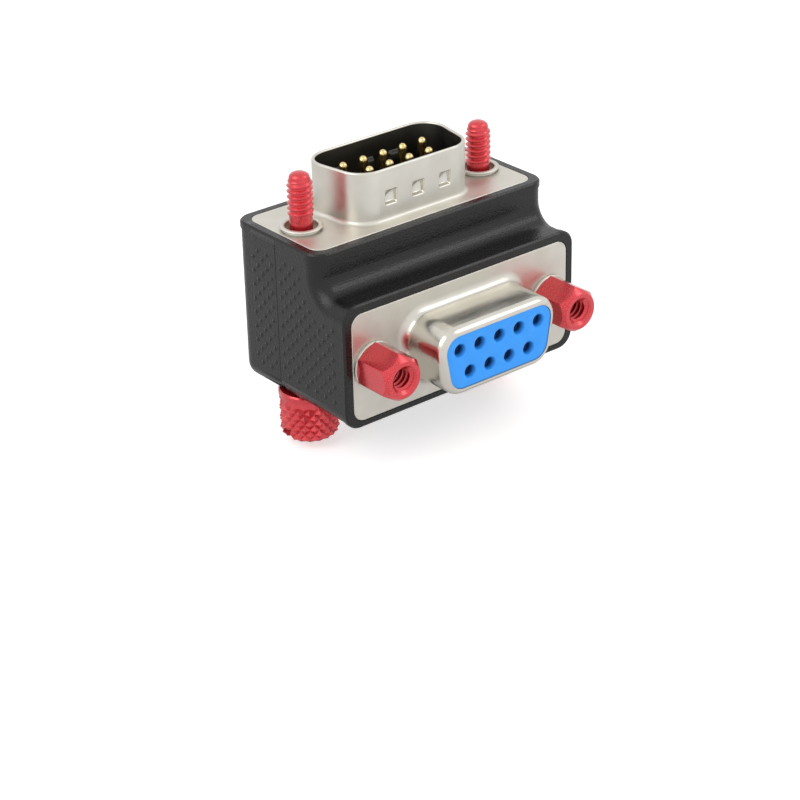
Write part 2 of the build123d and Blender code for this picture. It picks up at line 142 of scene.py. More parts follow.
def add_node(tree, kind, inputs=None, **settings):
    """Adds one node with its settings and its inputs."""
    node = tree.nodes.new(kind)
    for name, value in settings.items():
        setattr(node, name, value)
    set_inputs(tree, node, inputs or {})
    return node


def new_material(name):
    """An empty material. Returns it, its node tree and its shader."""
    material = bpy.data.materials.new(name)
    material.use_nodes = True
    return material, material.node_tree, material.node_tree.nodes["Principled BSDF"]


def object_pattern(tree, size_mm, detail=2.0, stretch=(1, 1, 1)):
    """Blotches about size_mm across that stay on the object, drawn out along an axis by stretch."""
    coordinates = add_node(tree, "ShaderNodeTexCoord")
    mapping = add_node(tree, "ShaderNodeMapping", {
        "Vector": coordinates.outputs["Object"],
        "Scale": [1 / (size_mm * MM * s) for s in stretch],
    })
    return add_node(tree, "ShaderNodeTexNoise", {
        "Vector": mapping.outputs["Vector"],
        "Scale": 1.0,
        "Detail": detail,
    }).outputs["Fac"]


# The part of a pattern's range that its blotches use
blotch_low = 0.3
blotch_high = 0.7


def moulded_black_plastic():
    """Black ABS from a spark-eroded mould: neutral and dark, with a mottled sheen in its curves."""
    material, tree, surface = new_material("moulded_black_abs")
    # The real grain is about 0.05 mm; it is drawn at 0.22 mm, which just shows
    grain = object_pattern(tree, 0.22, detail=4.0)
    colour = add_node(tree, "ShaderNodeMix", {
        "Factor": object_pattern(tree, 2.5),
        "A": linear("#0e0e0e"),
        "B": linear("#161615"),
    }, data_type="RGBA")
    roughness = add_node(tree, "ShaderNodeMapRange", {
        "Value": grain,
        "From Min": blotch_low,
        "From Max": blotch_high,
        "To Min": 0.16,
        "To Max": 0.34,
    })
    bump = add_node(tree, "ShaderNodeBump", {"Height": grain, "Distance": 0.04 * MM})
    set_inputs(tree, surface, {
        "Base Color": colour.outputs["Result"],
        "Roughness": roughness.outputs["Result"],
        "IOR": 1.44,
        "Normal": bump.outputs["Normal"],
    })
    return material


def bright_nickel():
    """Nickel plate over steel: warm grey and satin where it is flat, and bright where it was drawn
    through a die. The attribute for polish and painted shade is 0 on a flange, 1 on the brightest
    wall and -1 inside a shroud, where the colour is darkened as painted shade."""
    material, tree, surface = new_material("nickel_plated_steel")
    polish_and_shade = add_node(tree, "ShaderNodeAttribute", attribute_name="polish_and_shade").outputs["Fac"]
    # Rolling marks run along the flanges, four times as long as they are wide
    streaks = object_pattern(tree, 1.6, detail=3.0, stretch=(4, 1, 1))
    plate = add_node(tree, "ShaderNodeMix", {
        "Factor": object_pattern(tree, 3.0),
        "A": linear("#ccc8be"),
        "B": linear("#e0ddd5"),
    }, data_type="RGBA")
    # Painted shade: where the attribute falls towards -1, inside a shroud, the nickel turns to the
    # dark colour below
    inside = add_node(tree, "ShaderNodeMapRange", {
        "Value": polish_and_shade,
        "From Min": -1.0,
        "From Max": -0.4,
        "To Min": 1.0,
        "To Max": 0.0,
    })
    colour = add_node(tree, "ShaderNodeMix", {
        "Factor": inside.outputs["Result"],
        "A": plate.outputs["Result"],
        "B": linear("#4e4d49"),
    }, data_type="RGBA")
    smooth = add_node(tree, "ShaderNodeMapRange", {"Value": polish_and_shade, "To Min": 0.4, "To Max": 0.08})
    rough = add_node(tree, "ShaderNodeMapRange", {"Value": polish_and_shade, "To Min": 0.5, "To Max": 0.16})
    roughness = add_node(tree, "ShaderNodeMapRange", {
        "Value": streaks,
        "From Min": blotch_low,
        "From Max": blotch_high,
        "To Min": smooth.outputs["Result"],
        "To Max": rough.outputs["Result"],
    })
    bump = add_node(tree, "ShaderNodeBump", {"Height": streaks, "Distance": 0.025 * MM})
    set_inputs(tree, surface, {
        "Base Color": colour.outputs["Result"],
        "Metallic": 1.0,
        "Roughness": roughness.outputs["Result"],
        "Normal": bump.outputs["Normal"],
    })
    return material


def red_anodised():
    """Red anodised aluminium: dyed metal, deep red in its shadows, under a clear oxide skin whose
    pale sheen turns the lit sides pink."""
    material, tree, surface = new_material("red_anodised_aluminium")
    # Bead blasting leaves pits of about 0.05 mm; they are drawn at 0.12 mm
    blast = object_pattern(tree, 0.12)
    colour = add_node(tree, "ShaderNodeMix", {
        "Factor": object_pattern(tree, 1.5),
        "A": linear("#d12933"),
        "B": linear("#d8313b"),
    }, data_type="RGBA")
    roughness = add_node(tree, "ShaderNodeMapRange", {
        "Value": blast,
        "From Min": blotch_low,
        "From Max": blotch_high,
        "To Min": 0.2,
        "To Max": 0.32,
    })
    bump = add_node(tree, "ShaderNodeBump", {"Height": blast, "Distance": 0.0005 * MM})
    set_inputs(tree, surface, {
        "Base Color": colour.outputs["Result"],
        "Metallic": 0.65,
        "Roughness": roughness.outputs["Result"],
        "Coat Weight": 1.0,
        "Coat Roughness": 0.22,
        "Coat IOR": 1.5,
        "Normal": bump.outputs["Normal"],
    })
    return material


def gold_plate():
    """Gold plate over brass: yellow, bright and a little soft."""
    material, tree, surface = new_material("gold_plate")
    haze = object_pattern(tree, 0.5)
    colour = add_node(tree, "ShaderNodeMix", {
        "Factor": haze,
        "A": linear("#dcc07f"),
        "B": linear("#e8d3a0"),
    }, data_type="RGBA")
    roughness = add_node(tree, "ShaderNodeMapRange", {
        "Value": haze,
        "From Min": blotch_low,
        "From Max": blotch_high,
        "To Min": 0.14,
        "To Max": 0.24,
    })
    set_inputs(tree, surface, {
        "Base Color": colour.outputs["Result"],
        "Metallic": 1.0,
        "Roughness": roughness.outputs["Result"],
    })
    return material


def moulded_insulator(name, dark, light, bore):
    """Glass-filled polyester, moulded in one colour: even, with a satin face. The bore shade
    attribute is 1 inside the bores, where the colour is darkened as painted shade."""
    material, tree, surface = new_material(name)
    # The real grain is about 0.03 mm; it is drawn at 0.15 mm
    grain = object_pattern(tree, 0.15, detail=3.0)
    face = add_node(tree, "ShaderNodeMix", {
        "Factor": object_pattern(tree, 1.2),
        "A": linear(dark),
        "B": linear(light),
    }, data_type="RGBA")
    # Painted shade: inside the bores the face colour turns to the bore colour
    colour = add_node(tree, "ShaderNodeMix", {
        "Factor": add_node(tree, "ShaderNodeAttribute", attribute_name="bore_shade").outputs["Fac"],
        "A": face.outputs["Result"],
        "B": linear(bore),
    }, data_type="RGBA")
    roughness = add_node(tree, "ShaderNodeMapRange", {
        "Value": grain,
        "From Min": blotch_low,
        "From Max": blotch_high,
        "To Min": 0.38,
        "To Max": 0.5,
    })
    bump = add_node(tree, "ShaderNodeBump", {"Height": grain, "Distance": 0.004 * MM})
    set_inputs(tree, surface, {
        "Base Color": colour.outputs["Result"],
        "Roughness": roughness.outputs["Result"],
        "Subsurface Weight": 0.06,
        "Subsurface Radius": (0.2, 0.5, 1.0),
        "Subsurface Scale": 0.5 * MM,
        "Normal": bump.outputs["Normal"],
    })
    return material


def green_board():
    """Glass-fibre board under green lacquer: the weave just shows through."""
    material, tree, surface = new_material("lacquered_glass_fibre")
    weave = object_pattern(tree, 0.5, detail=1.0)
    colour = add_node(tree, "ShaderNodeMix", {
        "Factor": weave,
        "A": linear("#1d5a34"),
        "B": linear("#2a6f42"),
    }, data_type="RGBA")
    bump = add_node(tree, "ShaderNodeBump", {"Height": weave, "Distance": 0.01 * MM})
    set_inputs(tree, surface, {
        "Base Color": colour.outputs["Result"],
        "Roughness": 0.3,
        "Normal": bump.outputs["Normal"],
    })
    return material


black_plastic = moulded_black_plastic()
nickel = bright_nickel()
red_metal = red_anodised()
gold = gold_plate()
# The last colour of each is painted shade for the inside of its bores
black_insulator = moulded_insulator("black_polyester", "#15161a", "#1a1b20", "#15161a")
blue_insulator = moulded_insulator("blue_polyester", "#2491ee", "#2c97f2", "#0c2c5c")
board_lacquer = green_board()

# Angle between faces above which an edge shows as a crease
crease_angle = radians(32)


def finished(bm, name, material, node, body="adapter"):
    """Writes a shape in millimetres to a piece in metres, which rides on its body and stands for a
    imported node."""
    bmesh.ops.remove_doubles(bm, verts=bm.verts, dist=merge_distance)
    bmesh.ops.recalc_face_normals(bm, faces=bm.faces)
    bmesh.ops.scale(bm, vec=(MM, MM, MM), verts=bm.verts)
    mesh = bpy.data.meshes.new(name)
    bm.to_mesh(mesh)
    bm.free()
    mesh.shade_smooth()
    mesh.set_sharp_from_angle(angle=crease_angle)
    mesh.materials.append(material)
    piece = bpy.data.objects.new(name, mesh)
    bpy.context.scene.collection.objects.link(piece)
    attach(piece, body)
    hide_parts(node)


def new_edges(bm, before):
    """Edges that have been added since the set of edges was taken."""
    return [edge for edge in bm.edges if edge not in before]


def rounded_ring(bm, corners, cuts, level):
    """Closed ring through corners at one height; cuts says how far back each corner is rounded."""
    before = set(bm.edges)
    verts = [bm.verts.new((x, y, level)) for x, y in corners]
    bm.faces.new(verts)
    for vert, cut in zip(verts, cuts):
        bmesh.ops.bevel(
            bm, geom=[vert], offset=cut, offset_type="OFFSET", segments=corner_steps,
            profile=0.5, affect="VERTICES", clamp_overlap=False, material=-1,
        )
    ring = new_edges(bm, before)
    face = ring[0].link_faces[0]
    bmesh.ops.delete(bm, geom=[face], context="FACES_ONLY")
    return ring


def d_ring(bm, width, height, growth, level):
    """Ring round a D with its wide side towards +Y, moved outwards by growth."""
    lean = radians(d_slope)
    corner = d_corner + growth
    half_height = height / 2 + growth
    arc_x = width / 2 + growth - corner
    wide = arc_x + corner * (1 + sin(lean)) / cos(lean)
    narrow = arc_x - 2 * (half_height - corner) * tan(lean) + corner * (1 - sin(lean)) / cos(lean)
    corners = [
        (-wide, half_height),
        (-narrow, -half_height),
        (narrow, -half_height),
        (wide, half_height),
    ]
    wide_cut = corner / tan(pi / 4 - lean / 2)
    narrow_cut = corner / tan(pi / 4 + lean / 2)
    return rounded_ring(bm, corners, [wide_cut, narrow_cut, narrow_cut, wide_cut], level)


def rectangle_ring(bm, width, height, corner, level):
    """Ring round a rectangle with rounded corners."""
    x, y = width / 2, height / 2
    return rounded_ring(bm, [(-x, y), (-x, -y), (x, -y), (x, y)], [corner] * 4, level)


def circle_ring(bm, x, y, radius, level, segments):
    """Ring round a hole at x and y."""
    before = set(bm.edges)
    bmesh.ops.create_circle(
        bm, cap_ends=False, segments=segments, radius=radius,
        matrix=Matrix.Translation((x, y, level)),
    )
    return new_edges(bm, before)


def bridge(bm, rings):
    """Joins each ring to the next with a band of faces."""
    for first, second in zip(rings, rings[1:]):
        bmesh.ops.bridge_loops(bm, edges=first + second)


def arc_points(centre_x, centre_y, radius, start, end, steps):
    """Points along an arc, angles in degrees."""
    angles = [radians(start + (end - start) * i / steps) for i in range(steps + 1)]
    return [(centre_x + radius * cos(a), centre_y + radius * sin(a)) for a in angles]


def drawn_plate(place, d_size, profile, hole_radius, polish):
    """A flange and its drawn shroud. profile gives growth and height along the wall, from the
    flange's front, over the mouth, to the flange's back. polish is the wall's polish value."""
    flange_edge = 0.07
    # The polish value rises over this stretch of the wall, and the painted shade inside starts below
    # the lip
    polish_start, polish_length = 0.1, 0.5
    lip_depth = 0.19
    bm = bmesh.new()
    polish_and_shade = bm.verts.layers.float.new("polish_and_shade")
    mouth = max(level for growth, level in profile)
    past_mouth = False
    wall = []
    for growth, level in profile:
        ring = d_ring(bm, *d_size, growth, level)
        past_mouth = past_mouth or level == mouth
        shade = polish * min(max((level - polish_start) / polish_length, 0), 1)
        # Below the lip inside the shroud the value is -1, which paints shade on the nickel
        if past_mouth and level < mouth - lip_depth:
            shade = -1.0
        for vert in {v for e in ring for v in e.verts}:
            vert[polish_and_shade] = shade
        wall.append(ring)
    rim = [
        rectangle_ring(
            bm, flange_width - 2 * flange_edge, flange_height - 2 * flange_edge,
            flange_corner - flange_edge, 0,
        ),
        rectangle_ring(bm, flange_width, flange_height, flange_corner, -flange_edge),
        rectangle_ring(bm, flange_width, flange_height, flange_corner, -plate_thickness),
    ]
    holes = [
        [circle_ring(bm, x, 0, hole_radius, level, hole_steps) for level in (0, -plate_thickness)]
        for side, x in sides
    ]
    for rings in [wall, rim] + holes:
        bridge(bm, rings)
    for level_rings, normal in (
        ([wall[0], rim[0], holes[0][0], holes[1][0]], (0, 0, 1)),
        ([wall[-1], rim[-1], holes[0][1], holes[1][1]], (0, 0, -1)),
    ):
        bmesh.ops.triangle_fill(
            bm, use_beauty=True, edges=[e for ring in level_rings for e in ring], normal=normal
        )
    bmesh.ops.transform(bm, matrix=place, verts=bm.verts)
    return bm


def soft_step(inside, width):
    """Rises smoothly from 0 to 1 over a width."""
    share = min(max(inside / width, 0), 1)
    return share * share * (3 - 2 * share)


# Square dimples in the plug's long walls. The punch polishes what it stretches.
dimple_centres = (-3.75, 0, 3.75)
dimple_height = 2.6
dimple_size = 1.8
dimple_depth = 0.5
dimple_slope = 0.34
dimple_border = 0.05
dimple_steps = 8
dimple_polish = 0.5
dimple_polish_rise = 4


def press_dimples(bm, wall_y):
    """Presses the dimples into the flat part of a wall that lies along X."""
    polish_and_shade = bm.verts.layers.float["polish_and_shade"]
    half = dimple_size / 2
    # The first cut lies just outside, so that the wall round the dimple shades flat
    offsets = [half + dimple_border]
    offsets += [half - dimple_slope * i / dimple_steps for i in range(dimple_steps + 1)]
    offsets += [-offset for offset in offsets]
    cuts = [((x + offset, 0, 0), (1, 0, 0)) for x in dimple_centres for offset in offsets]
    cuts += [((0, 0, dimple_height + offset), (0, 0, 1)) for offset in offsets]
    for point, normal in cuts:
        flat = [f for f in bm.faces if all(abs(v.co.y - wall_y) < plane_distance for v in f.verts)]
        edges = {e for f in flat for e in f.edges}
        verts = {v for f in flat for v in f.verts}
        bmesh.ops.bisect_plane(
            bm, geom=list(verts) + list(edges) + flat, dist=cut_distance,
            plane_co=point, plane_no=normal,
        )
    inwards = -dimple_depth if wall_y > 0 else dimple_depth
    for vert in bm.verts:
        if abs(vert.co.y - wall_y) < plane_distance:
            across = max(soft_step(half - abs(vert.co.x - x), dimple_slope) for x in dimple_centres)
            up = soft_step(half - abs(vert.co.z - dimple_height), dimple_slope)
            vert.co.y += inwards * across * up
            if vert[polish_and_shade] > 0:
                vert[polish_and_shade] += dimple_polish * min(across * up * dimple_polish_rise, 1)


def plug_plate():
    """The plug's front plate: a tall thin-walled D shroud with pressed dimples."""
    root_radius = 0.5
    back_radius = 0.3
    eyelet_hole_radius = 2.18
    lip = shroud_wall / 2
    profile = arc_points(shroud_wall + root_radius, root_radius, root_radius, 270, 180, 6)
    profile += arc_points(lip, plug_shroud_height - lip, lip, 0, 180, 8)
    profile += arc_points(back_radius, back_radius - plate_thickness, back_radius, 180, 270, 4)
    bm = drawn_plate(
        plug_place, (plug_d_width, plug_d_height), profile, eyelet_hole_radius, polish=0.3
    )
    for direction in (-1, 1):
        for wall_y in (plug_d_height / 2 + shroud_wall, plug_d_height / 2):
            press_dimples(bm, direction * wall_y)
    finished(bm, "plug_shroud_drawn", nickel, "plug_shroud")


def socket_plate():
    """The socket's front plate: a flared shroud whose mouth turns in over the insulator."""
    root_radius = 1.1
    mouth_radius = 0.95
    mouth_turn = 76
    lip_sag = 0.07
    lip_back = shroud_wall - 0.1
    throat_width = 0.1
    throat_start, throat_end = 0.9, 1.1
    nut_hole_radius = 1.85
    top = socket_shroud_height
    profile = arc_points(root_radius, root_radius, root_radius, 270, 180, 8)
    profile += arc_points(-mouth_radius, top - mouth_radius, mouth_radius, 0, mouth_turn, 8)
    profile += [
        (-socket_lip, top - lip_sag),
        (-socket_lip, top - lip_back),
        (-shroud_wall - throat_width, top - throat_start),
        (-shroud_wall, top - throat_end),
        (-shroud_wall, -plate_thickness),
    ]
    bm = drawn_plate(
        socket_place, (socket_d_width, socket_d_height), profile, nut_hole_radius, polish=0.75
    )
    finished(bm, "socket_shroud_drawn", nickel, "socket_shroud")


plug_plate()
socket_plate()


def turned(profile, steps, place=Matrix.Identity(4), closed=False):
    """A turned shape: the profile of radius and height is spun about its own Z, then placed."""
    bm = bmesh.new()
    verts = [bm.verts.new((radius, 0, height)) for radius, height in profile]
    pairs = list(zip(verts, verts[1:]))
    if closed:
        pairs.append((verts[-1], verts[0]))
    edges = [bm.edges.new(pair) for pair in pairs]
    bmesh.ops.spin(
        bm, geom=verts + edges, cent=(0, 0, 0), axis=(0, 0, 1), dvec=(0, 0, 0),
        angle=2 * pi, steps=steps, use_merge=True, use_duplicate=False,
    )
    bmesh.ops.remove_doubles(bm, verts=bm.verts, dist=merge_distance)
    bmesh.ops.recalc_face_normals(bm, faces=bm.faces)
    bmesh.ops.transform(bm, matrix=place, verts=bm.verts)
    return bm


def rounded_end(radius, height, length, steps=5):
    """Profile of a domed end, from the middle outwards."""
    return [(radius * across, height - length * (1 - up))
            for across, up in arc_points(0, 0, 1, 90, 0, steps)]


def domed_pin(number):
    """A gold rod with a domed tip."""
    dome_length = 0.6
    low, high = box_mm(f"plug_pin_{number}")
    radius = (high.x - low.x) / 2
    pin = turned(
        rounded_end(radius, high.z, dome_length) + [(radius, low.z), (0, low.z)],
        pin_steps, Matrix.Translation(((low.x + high.x) / 2, (low.y + high.y) / 2, 0)),
    )
    finished(pin, f"domed_pin_{number}", gold, f"plug_pin_{number}")


# Eyelets, whose floors hold the screws' necks
eyelet_bore_radius = 1.825
eyelet_barrel_radius = 2.12
eyelet_floor_bore_radius = 1.225
eyelet_floor_thickness = 0.4


def rolled_eyelet(side, x):
    """An eyelet. Its head is rolled over, so its edge stands a little clear of the flange."""
    roll_width, roll_height = 0.275, 0.17
    roll_end = 2.2 * roll_height
    low, high = box_mm(f"{side}_eyelet")
    floor = low.z + eyelet_floor_thickness
    head = [
        (eyelet_bore_radius + roll_width * (1 + across), high.z + roll_height * (up - 1))
        for across, up in arc_points(0, 0, 1, 180, -90, 16)
    ]
    eyelet = turned(
        head + [
            (eyelet_barrel_radius, high.z - roll_end),
            (eyelet_barrel_radius, low.z),
            (eyelet_floor_bore_radius, low.z),
            (eyelet_floor_bore_radius, floor),
            (eyelet_bore_radius, floor),
        ],
        ring_steps, Matrix.Translation((x, 0, 0)), closed=True,
    )
    finished(eyelet, f"{side}_rolled_eyelet", nickel, f"{side}_eyelet")


def turned_washer(side, x):
    """A washer under a jack nut, with a soft outer edge."""
    inner = 1.45
    soft = 0.08
    low, high = box_mm(f"{side}_washer")
    outer = (high.x - low.x) / 2
    washer = turned(
        [
            (inner, 0),
            (outer - soft, 0),
            (outer, soft),
            (outer, washer_thickness - soft),
            (outer - soft, washer_thickness),
            (inner, washer_thickness),
        ],
        ring_steps, socket_place @ Matrix.Translation((x, 0, 0)), closed=True,
    )
    finished(washer, f"{side}_turned_washer", nickel, f"{side}_washer")


for number in range(1, 10):
    domed_pin(number)
for side, x in sides:
    rolled_eyelet(side, x)
for side, x in sides:
    turned_washer(side, x)


def threaded_rod(radius, start, end, depth):
    """A closed rod with a thread between two heights, its ends cut square."""
    bm = bmesh.new()
    crest_round = 0.05
    root = radius - depth
    shoulder = radius - crest_round
    # One turn of the thread: radius, and height as a share of the pitch
    shape = [
        (root, 0), (root, 0.14), (shoulder, 0.42), (radius, 0.48),
        (radius, 0.58), (shoulder, 0.64), (root, 0.92), (root, 1),
    ]
    verts = [bm.verts.new((r, 0, start - thread_pitch + share * thread_pitch)) for r, share in shape]
    edges = [bm.edges.new(pair) for pair in zip(verts, verts[1:])]
    turns = int((end - start) / thread_pitch) + 2
    bmesh.ops.spin(
        bm, geom=verts + edges, cent=(0, 0, 0), axis=(0, 0, 1),
        dvec=(0, 0, thread_pitch / thread_steps), angle=2 * pi * turns,
        steps=thread_steps * turns, use_merge=False, use_duplicate=False,
    )
    bmesh.ops.remove_doubles(bm, verts=bm.verts, dist=merge_distance)
    for height, normal in ((start, (0, 0, -1)), (end, (0, 0, 1))):
        # The thread's long edges meet this cut at a small angle, so it is a finer one
        bmesh.ops.bisect_plane(
            bm, geom=bm.verts[:] + bm.edges[:] + bm.faces[:], dist=cut_distance / 10,
            plane_co=(0, 0, height), plane_no=normal, clear_outer=True,
        )
        open_edges = [
            edge for edge in bm.edges
            if edge.is_boundary and all(abs(v.co.z - height) < plane_distance for v in edge.verts)
        ]
        bmesh.ops.contextual_create(bm, geom=open_edges)
    bmesh.ops.recalc_face_normals(bm, faces=bm.faces)
    return bm


def blind_bore(bm, x, y, profile):
    """Rings of a blind hole at x and y, its floor closed. Returns the ring at the mouth."""
    rings = [circle_ring(bm, x, y, radius, level, bore_steps) for radius, level in profile]
    bridge(bm, rings)
    bmesh.ops.contextual_create(bm, geom=rings[-1])
    return rings[0]


def scratch_object(bm):
    """A loose object that holds a shape for a Boolean."""
    mesh = bpy.data.meshes.new("scratch")
    bm.to_mesh(mesh)
    bm.free()
    scratch = bpy.data.objects.new("scratch", mesh)
    bpy.context.scene.collection.objects.link(scratch)
    return scratch


def combined(base, tool, operation):
    """The first shape united with, cut by or trimmed to the second one."""
    base_object, tool_object = scratch_object(base), scratch_object(tool)
    modifier = base_object.modifiers.new("combine", "BOOLEAN")
    modifier.operation = operation
    modifier.object = tool_object
    modifier.solver = "EXACT"
    depsgraph = bpy.context.evaluated_depsgraph_get()
    mesh = bpy.data.meshes.new_from_object(base_object.evaluated_get(depsgraph))
    result = bmesh.new()
    result.from_mesh(mesh)
    # Removing a mesh removes the object that holds it
    for scratch in (base_object.data, tool_object.data, mesh):
        bpy.data.meshes.remove(scratch)
    return result


def box_shape(low, high):
    """A box between two corners."""
    bm = bmesh.new()
    low, high = Vector(low), Vector(high)
    matrix = Matrix.Translation((low + high) / 2) @ Matrix.Diagonal([*(high - low), 1])
    bmesh.ops.create_cube(bm, size=1, matrix=matrix)
    return bm


def blue_insulator_block():
    """The socket's insulator: a face with nine countersunk blind bores, and a block behind it."""
    clearance = 0.05
    tip_clearance = 0.03
    soft = 0.02
    collar_half_height = 4.75
    collar_end = -4.55
    tail_inset = 0.9
    low, high = box_mm("socket_insulator")
    top = -low.y - socket_reach
    back = -high.y - socket_reach
    half_width = (high.x - low.x) / 2
    tip = -socket_lip - tip_clearance
    nose = -shroud_wall - clearance
    shoulder = socket_shroud_height - shroud_wall - clearance
    bm = bmesh.new()
    outline = [
        d_ring(bm, socket_d_width, socket_d_height, growth, level)
        for growth, level in (
            (tip - 3 * soft, top), (tip - soft, top - soft), (tip, top - 4 * soft),
            (tip, shoulder), (nose, shoulder), (nose, -plate_thickness),
        )
    ]
    bridge(bm, outline)
    bmesh.ops.contextual_create(bm, geom=outline[-1])
    # Radius and height of a bore: its countersink, its wall, and the contact that narrows it
    bore = [
        (0.82, 0), (0.79, -0.015), (0.765, -0.05), (0.6, -0.4),
        (0.56, -0.52), (0.56, -0.95), (0.49, -1.0), (0.49, -2.6),
    ]
    holes = [
        ((i - (count - 1) / 2) * contact_pitch, y)
        for count, y in ((5, row_spacing / 2), (4, -row_spacing / 2))
        for i in range(count)
    ]
    mouths = []
    for x, y in holes:
        mouths += blind_bore(bm, x, y, [(radius, top + height) for radius, height in bore])
    bmesh.ops.triangle_fill(bm, use_beauty=True, edges=outline[0] + mouths, normal=(0, 0, 1))
    bmesh.ops.recalc_face_normals(bm, faces=bm.faces)
    collar = box_shape(
        (-half_width, -collar_half_height, collar_end),
        (half_width, collar_half_height, -plate_thickness),
    )
    tail = box_shape(
        (tail_inset - half_width, tail_inset - collar_half_height, back),
        (half_width - tail_inset, collar_half_height - tail_inset, collar_end + clearance),
    )
    block = combined(combined(bm, collar, "UNION"), tail, "UNION")
    # The bores are darkened with painted shade from here down
    dark_top, dark_bottom, dark_radius = top - 0.3, top - 2.7, 0.62
    dark_start, dark_rate = 0.35, 2
    bore_shade = block.verts.layers.float.new("bore_shade")
    for vert in block.verts:
        reach = min(hypot(vert.co.x - x, vert.co.y - y) for x, y in holes)
        if reach < dark_radius and dark_bottom < vert.co.z < dark_top:
            vert[bore_shade] = min(dark_start + (dark_top - vert.co.z) * dark_rate, 1)
    bmesh.ops.transform(block, matrix=socket_place, verts=block.verts)
    finished(block, "blue_insulator_block", blue_insulator, "socket_insulator")


blue_insulator_block()


# Sizes of the thumbscrews. The neck is thicker above the eyelet's floor, where it shows.
screw_thread_length = 5.0
screw_thread_depth = 0.25
thread_start_height = 1.65
thread_run_out = 0.3
tip_radius = 1.13
tip_length = 0.6
tip_cone_radius = 1.17
tip_cone_start = 0.85
first_crest = 1.2
full_thread = 1.6
upper_neck_radius = 1.27
lower_neck_radius = 1.125
neck_step_height = 0.3
neck_step_length = 0.15
shaft_radius = 1.6
shaft_top_gap = 0.95
shaft_edge = 0.1
head_radius = 3.35
head_length = 5.7
head_band = 0.8
head_edge = 0.95
slot_width = 1.2
slot_depth = 1.25

# Knurling of the heads: pyramids a little over a millimetre wide, in staggered rows
knurl_columns = 34
knurl_row = 0.68
knurl_depth = 0.38


def knurled_head(top, bottom):
    """Head of a thumbscrew: a smooth band at its top, then knurling that runs round its lower edge."""
    band_edge, groove = 0.15, 0.12
    knurl_top = top - head_band
    knurl_length = knurl_top - bottom - head_edge
    count = round(knurl_length / knurl_row)
    rows = [(head_radius, knurl_top - knurl_length * i / count) for i in range(1, count + 1)]
    rows += arc_points(head_radius - head_edge, bottom + head_edge, head_edge, 0, -90, 3)[1:-1]
    profile = [
        (0, top),
        (head_radius - band_edge, top),
        (head_radius, top - band_edge),
        (head_radius, knurl_top + groove),
        (head_radius - knurl_depth, knurl_top),
        *rows,
        (head_radius - head_edge, bottom),
        (0, bottom),
    ]
    bm = turned(profile, knurl_columns)
    valleys = []
    for vert in bm.verts:
        reach = hypot(vert.co.x, vert.co.y)
        column = round(atan2(vert.co.y, vert.co.x) / (2 * pi / knurl_columns))
        for index, (radius, height) in enumerate(rows, start=1):
            on_row = abs(vert.co.z - height) < plane_distance and abs(reach - radius) < plane_distance
            if on_row and (column + index) % 2:
                # Where the head is rounded off, the valleys are half as deep
                depth = knurl_depth if radius == head_radius else knurl_depth / 2
                vert.co.xy *= (reach - depth) / reach
                valleys.append(vert)
    bmesh.ops.connect_verts(bm, verts=valleys)
    return bm


def thumbscrew(side, x):
    """A captive screw: thread with a domed tip, neck, shaft and knurled, slotted head."""
    crest_trim = 0.04
    blank_clearance = 0.1
    spare = 0.5
    overlap = 0.05
    stem_in_thread = 0.4
    stem_in_head = 0.2
    low, high = box_mm(f"{side}_thumbscrew")
    thread_top = high.z
    thread_bottom = thread_top - screw_thread_length
    head_top = low.z + head_length
    # How far the screw hangs below the place where its head meets the housing
    hang = thread_start_height - thread_bottom
    shaft_top = -stack_thickness - shaft_top_gap - hang
    neck_step = -stack_thickness + eyelet_floor_thickness + neck_step_height
    rod = threaded_rod(
        thread_radius, thread_bottom - thread_run_out, thread_top + spare, screw_thread_depth
    )
    # The blank trims the thread to a domed tip above, and lets it run out into the neck below
    blank = turned(
        rounded_end(tip_radius, thread_top, tip_length, steps=8) + [
            (tip_cone_radius, thread_top - tip_cone_start),
            (thread_radius - crest_trim, thread_top - first_crest),
            (thread_radius + blank_clearance, thread_top - full_thread),
            (thread_radius + blank_clearance, thread_bottom + thread_run_out),
            (upper_neck_radius, thread_bottom - overlap),
            (0, thread_bottom - overlap),
        ],
        screw_steps,
    )
    thread = combined(rod, blank, "INTERSECT")
    stem = turned(
        [
            (0, thread_bottom + stem_in_thread),
            (upper_neck_radius, thread_bottom + stem_in_thread),
            (upper_neck_radius, neck_step),
            (lower_neck_radius, neck_step - neck_step_length),
            (lower_neck_radius, shaft_top),
            (shaft_radius - shaft_edge, shaft_top),
            (shaft_radius, shaft_top - shaft_edge),
            (shaft_radius, head_top - stem_in_head),
            (0, head_top - stem_in_head),
        ],
        thread_steps,
    )
    slot = box_shape(
        (-2 * head_radius, -slot_width / 2, low.z - slot_depth),
        (2 * head_radius, slot_width / 2, low.z + slot_depth),
    )
    head = combined(knurled_head(head_top, low.z), slot, "DIFFERENCE")
    screw = combined(combined(thread, stem, "UNION"), head, "UNION")
    bmesh.ops.translate(screw, vec=(x, 0, 0), verts=screw.verts)
    finished(
        screw, f"{side}_turned_thumbscrew", red_metal, f"{side}_thumbscrew",
        body=f"{side}_thumbscrew",
    )


# Sizes of the jack nuts
jack_face_radius = 2.15
jack_chamfer_length = 0.95
jack_corner_edge = 0.08
jack_face_edge_width = 0.06
jack_face_edge_length = 0.05
jack_base_edge = 0.1
jack_bore_depth = 4.4
jack_thread_clearance = 0.02
jack_thread_depth = 0.36
lead_in_width = 0.2
lead_in_core = 1.1
lead_in_depth = 0.5
jack_stud_radius = 1.4
jack_stud_length = 3.8


